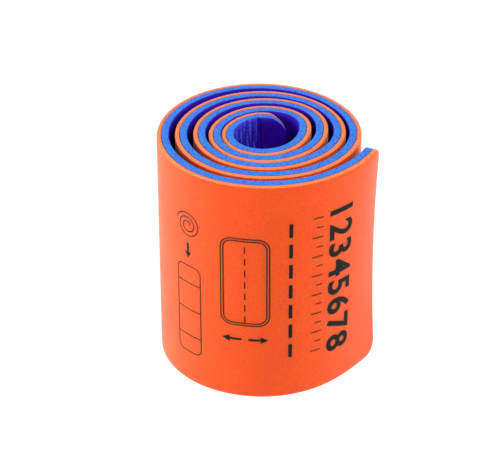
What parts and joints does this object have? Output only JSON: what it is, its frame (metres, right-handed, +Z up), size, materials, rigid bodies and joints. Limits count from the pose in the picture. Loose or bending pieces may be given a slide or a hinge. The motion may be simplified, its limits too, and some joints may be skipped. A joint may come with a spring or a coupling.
{
  "type": "moldable splint",
  "caption": "Moldable splint: a long strip of foam over a thin metal core, rolled up loosely and standing on its long edge, with the free end springing away",
  "frame": {"origin": "bottom centre of the bounding box, on the surface that the roll stands on", "axes": "+Z up, along the width of the strip; -Y the front of the roll; +X the side where the free end is"},
  "size_m": [0.0976, 0.0904, 0.11],
  "materials": {
    "orange_foam": "satin closed-cell foam skin",
    "blue_foam": "matt closed-cell foam",
    "black_ink": "matt printing ink"
  },
  "bodies": {
    "root": {"outer_foam_sheet": "orange_foam", "inner_foam_sheet": "blue_foam"}
  },
  "joints": []
}
